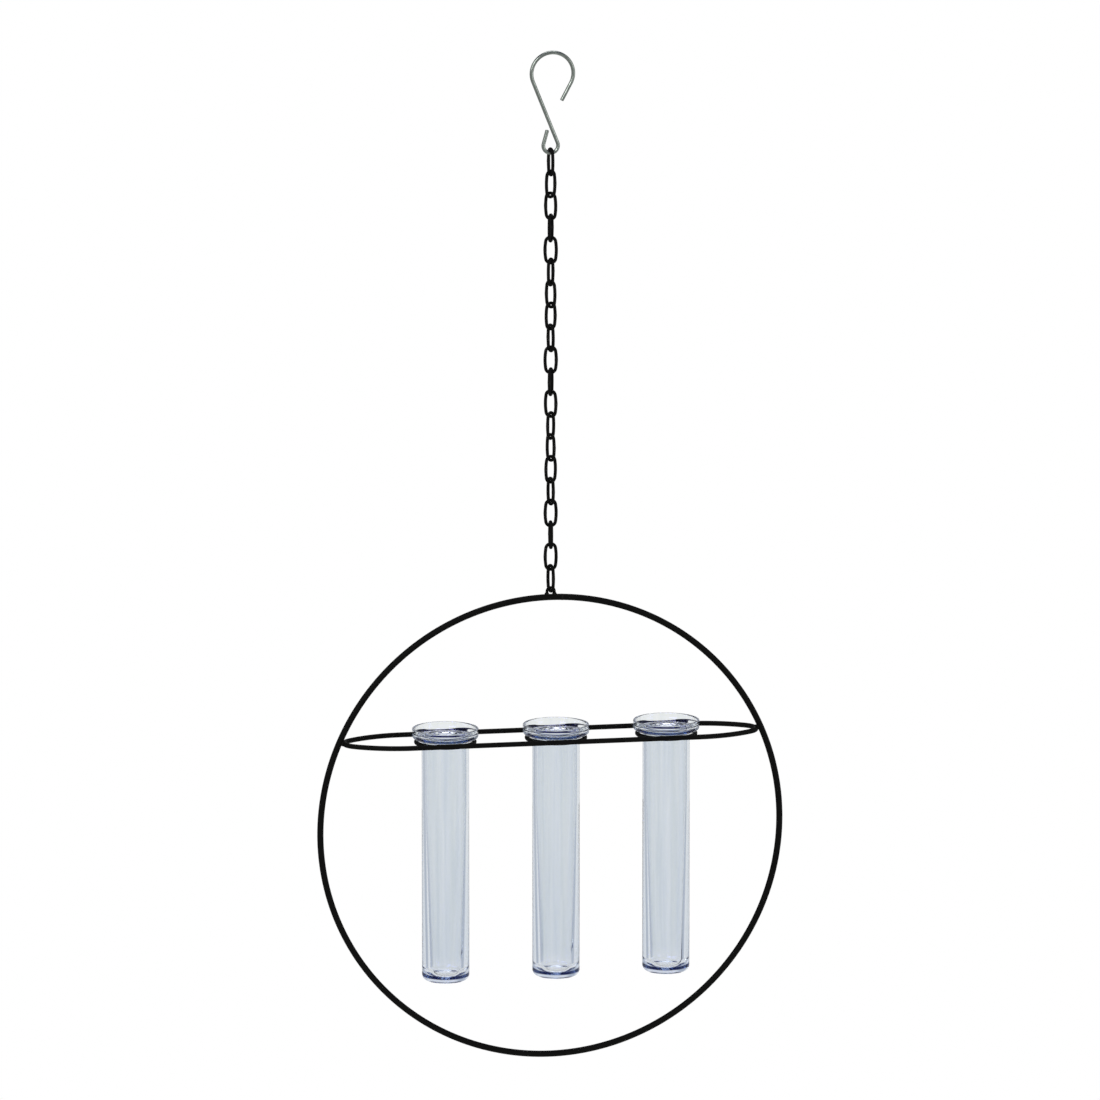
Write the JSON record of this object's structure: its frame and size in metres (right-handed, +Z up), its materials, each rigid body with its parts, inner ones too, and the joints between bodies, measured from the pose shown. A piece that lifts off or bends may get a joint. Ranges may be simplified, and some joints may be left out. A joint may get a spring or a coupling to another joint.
{
  "type": "hanging vase",
  "caption": "Hanging vase: clear glass tube vases seated by their flared rims in wire rings inside a round black wire hoop, hung on a link chain with an S-hook.",
  "frame": {"origin": "point inside the hook's upper loop that bears on the rail, above the chain", "axes": "+Z up along the chain, +X right along the hoop, -Y front"},
  "size_m": [0.3, 0.0452, 0.6464],
  "materials": {
    "galvanised_steel": "galvanised wire",
    "black_coated_steel": "satin black powder coat",
    "clear_glass": "clear soda-lime glass with a faint slate-blue tint"
  },
  "bodies": {
    "hook": {"s_hook": "galvanised_steel"},
    "link_01": {"chain_link_01": "black_coated_steel"},
    "link_02": {"chain_link_02": "black_coated_steel"},
    "link_03": {"chain_link_03": "black_coated_steel"},
    "link_04": {"chain_link_04": "black_coated_steel"},
    "link_05": {"chain_link_05": "black_coated_steel"},
    "link_06": {"chain_link_06": "black_coated_steel"},
    "link_07": {"chain_link_07": "black_coated_steel"},
    "link_08": {"chain_link_08": "black_coated_steel"},
    "link_09": {"chain_link_09": "black_coated_steel"},
    "link_10": {"chain_link_10": "black_coated_steel"},
    "link_11": {"chain_link_11": "black_coated_steel"},
    "link_12": {"chain_link_12": "black_coated_steel"},
    "link_13": {"chain_link_13": "black_coated_steel"},
    "link_14": {"chain_link_14": "black_coated_steel"},
    "link_15": {"chain_link_15": "black_coated_steel"},
    "link_16": {"chain_link_16": "black_coated_steel"},
    "link_17": {"chain_link_17": "black_coated_steel"},
    "link_18": {"chain_link_18": "black_coated_steel"},
    "link_19": {"chain_link_19": "black_coated_steel"},
    "link_20": {"chain_link_20": "black_coated_steel"},
    "frame": {"hoop": "black_coated_steel", "hanging_eye": "black_coated_steel", "eye_welds": "black_coated_steel", "holder_loop": "black_coated_steel", "holder_weld_left": "black_coated_steel", "holder_weld_right": "black_coated_steel", "holder_ring_left": "black_coated_steel", "holder_ring_middle": "black_coated_steel", "holder_ring_right": "black_coated_steel"},
    "vase_left": {"vase_left": "clear_glass"},
    "vase_middle": {"vase_middle": "clear_glass"},
    "vase_right": {"vase_right": "clear_glass"}
  },
  "joints": [
    {"name": "link_01_swing", "type": "hinge", "parent": "hook", "child": "link_01", "pos_m": [0, 0, -0.06235], "axis": [1, 0, 0], "range_deg": [-45, 45]},
    {"name": "link_02_swing", "type": "hinge", "parent": "link_01", "child": "link_02", "pos_m": [0, 0, -0.0762], "axis": [0.2079, -0.9781, 0], "range_deg": [-45, 45]},
    {"name": "link_03_swing", "type": "hinge", "parent": "link_02", "child": "link_03", "pos_m": [0, 0, -0.0902], "axis": [-0.8572, -0.515, 0], "range_deg": [-45, 45]},
    {"name": "link_04_swing", "type": "hinge", "parent": "link_03", "child": "link_04", "pos_m": [0, 0, -0.1042], "axis": [-0.788, 0.6157, 0], "range_deg": [-45, 45]},
    {"name": "link_05_swing", "type": "hinge", "parent": "link_04", "child": "link_05", "pos_m": [0, 0, -0.1182], "axis": [0.4384, 0.8988, 0], "range_deg": [-45, 45]},
    {"name": "link_06_swing", "type": "hinge", "parent": "link_05", "child": "link_06", "pos_m": [0, 0, -0.1322], "axis": [0.9703, -0.2419, 0], "range_deg": [-45, 45]},
    {"name": "link_07_swing", "type": "hinge", "parent": "link_06", "child": "link_07", "pos_m": [0, 0, -0.1462], "axis": [-0.5736, -0.8192, 0], "range_deg": [-45, 45]},
    {"name": "link_08_swing", "type": "hinge", "parent": "link_07", "child": "link_08", "pos_m": [0, 0, -0.1602], "axis": [-0.6157, 0.788, 0], "range_deg": [-45, 45]},
    {"name": "link_09_swing", "type": "hinge", "parent": "link_08", "child": "link_09", "pos_m": [0, 0, -0.1742], "axis": [0.891, 0.454, 0], "range_deg": [-45, 45]},
    {"name": "link_10_swing", "type": "hinge", "parent": "link_09", "child": "link_10", "pos_m": [0, 0, -0.1882], "axis": [0.2756, -0.9613, 0], "range_deg": [-45, 45]},
    {"name": "link_11_swing", "type": "hinge", "parent": "link_10", "child": "link_11", "pos_m": [0, 0, -0.2022], "axis": [-0.9962, 0.0872, 0], "range_deg": [-45, 45]},
    {"name": "link_12_swing", "type": "hinge", "parent": "link_11", "child": "link_12", "pos_m": [0, 0, -0.2162], "axis": [-0.4226, -0.9063, 0], "range_deg": [-45, 45]},
    {"name": "link_13_swing", "type": "hinge", "parent": "link_12", "child": "link_13", "pos_m": [0, 0, -0.2302], "axis": [0.8387, -0.5446, 0], "range_deg": [-45, 45]},
    {"name": "link_14_swing", "type": "hinge", "parent": "link_13", "child": "link_14", "pos_m": [0, 0, -0.2442], "axis": [0.682, 0.7314, 0], "range_deg": [-45, 45]},
    {"name": "link_15_swing", "type": "hinge", "parent": "link_14", "child": "link_15", "pos_m": [0, 0, -0.2582], "axis": [-0.454, 0.891, 0], "range_deg": [-45, 45]},
    {"name": "link_16_swing", "type": "hinge", "parent": "link_15", "child": "link_16", "pos_m": [0, 0, -0.2722], "axis": [-0.9272, -0.3746, 0], "range_deg": [-45, 45]},
    {"name": "link_17_swing", "type": "hinge", "parent": "link_16", "child": "link_17", "pos_m": [0, 0, -0.2862], "axis": [0.2924, -0.9563, 0], "range_deg": [-45, 45]},
    {"name": "link_18_swing", "type": "hinge", "parent": "link_17", "child": "link_18", "pos_m": [0, 0, -0.3002], "axis": [0.9986, 0.0523, 0], "range_deg": [-45, 45]},
    {"name": "link_19_swing", "type": "hinge", "parent": "link_18", "child": "link_19", "pos_m": [0, 0, -0.3142], "axis": [0.0175, 0.9998, 0], "range_deg": [-45, 45]},
    {"name": "link_20_swing", "type": "hinge", "parent": "link_19", "child": "link_20", "pos_m": [0, 0, -0.3282], "axis": [-0.9986, -0.0523, 0], "range_deg": [-45, 45]},
    {"name": "frame_swing", "type": "hinge", "parent": "link_20", "child": "frame", "pos_m": [0, 0, -0.3422], "axis": [0.309, -0.9511, 0], "range_deg": [-45, 45]},
    {"name": "vase_left_lift", "type": "slide", "parent": "frame", "child": "vase_left", "axis": [0, 0, 1], "range_m": [0, 0.047]},
    {"name": "vase_middle_lift", "type": "slide", "parent": "frame", "child": "vase_middle", "axis": [0, 0, 1], "range_m": [0, 0.075]},
    {"name": "vase_right_lift", "type": "slide", "parent": "frame", "child": "vase_right", "axis": [0, 0, 1], "range_m": [0, 0.043]}
  ]
}
